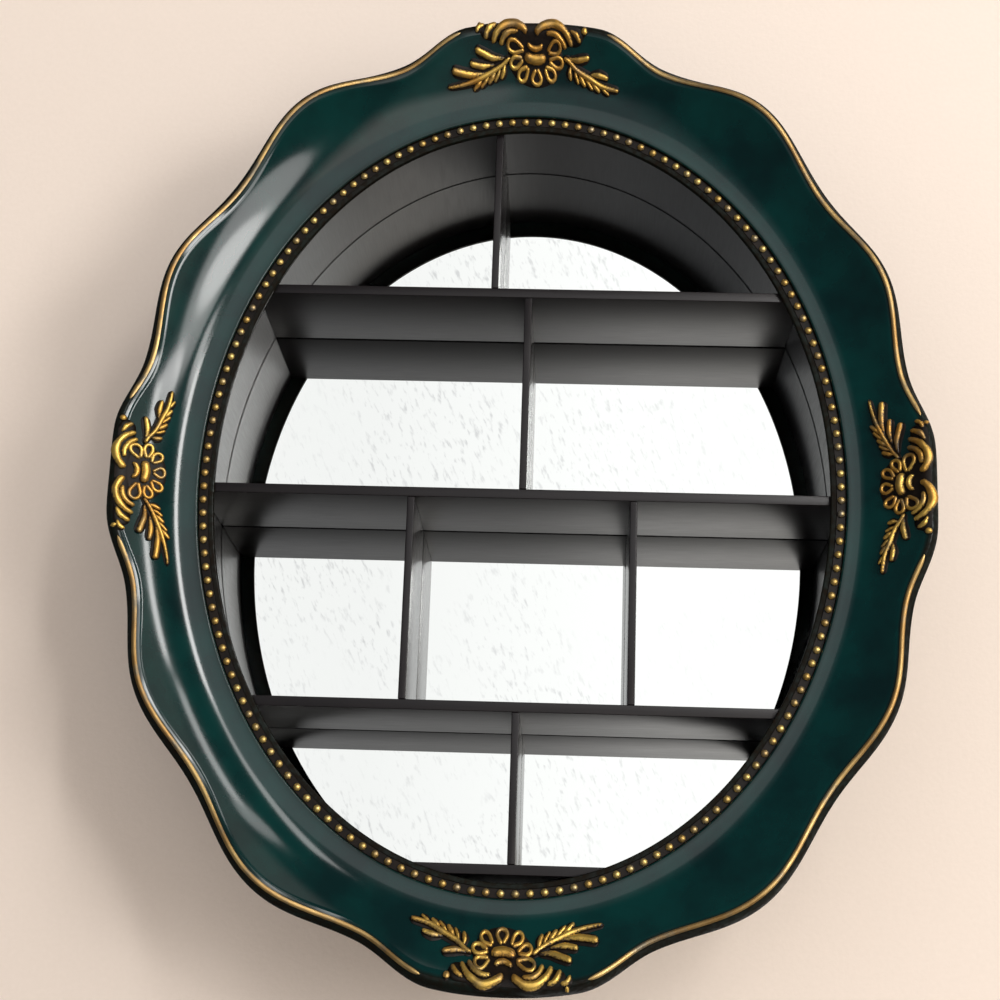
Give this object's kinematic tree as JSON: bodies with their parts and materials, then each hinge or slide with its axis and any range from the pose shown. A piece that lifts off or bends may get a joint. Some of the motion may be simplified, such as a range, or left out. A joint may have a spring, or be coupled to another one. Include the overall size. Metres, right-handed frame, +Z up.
{
  "type": "mirrored wall shelf",
  "caption": "Oval shadow-box wall shelf with a scalloped green frame, beaded edge, gilt ornaments, mirrored back, shelves and dividers.",
  "frame": {"origin": "centre of the oval on the back face, in the plane of the wall", "axes": "+Z up, +X to the right as seen from the front, -Y out of the front; +Y points into the wall"},
  "size_m": [0.4942, 0.1272, 0.6014],
  "materials": {
    "green_lacquer": "high gloss lacquer",
    "brown_ground": "satin",
    "antique_gilt": "antiqued gilt",
    "mirror": "silvered glass",
    "dark_stain": "satin lacquer",
    "raw_board": "unfinished",
    "zinc_steel": "zinc plated"
  },
  "bodies": {
    "root": {"frame_moulding": "green_lacquer", "bead_strip": "brown_ground", "beads": "antique_gilt", "ornament_top": "antique_gilt", "ornament_right": "antique_gilt", "ornament_bottom": "antique_gilt", "ornament_left": "antique_gilt", "case_wall": "dark_stain", "mirror_glass": "mirror", "shelf_upper": "dark_stain", "shelf_middle": "dark_stain", "shelf_lower": "dark_stain", "shelf_base": "dark_stain", "divider_crown": "dark_stain", "divider_upper": "dark_stain", "divider_lower_left": "dark_stain", "divider_lower_right": "dark_stain", "divider_base": "dark_stain", "back_board": "raw_board", "hanger_left": "zinc_steel", "hanger_right": "zinc_steel", "hanger_screws": "zinc_steel", "corner_brackets": "zinc_steel", "bracket_case_screws": "zinc_steel", "bracket_frame_screws": "zinc_steel", "board_screws": "zinc_steel", "shelf_pins": "zinc_steel"}
  },
  "joints": []
}
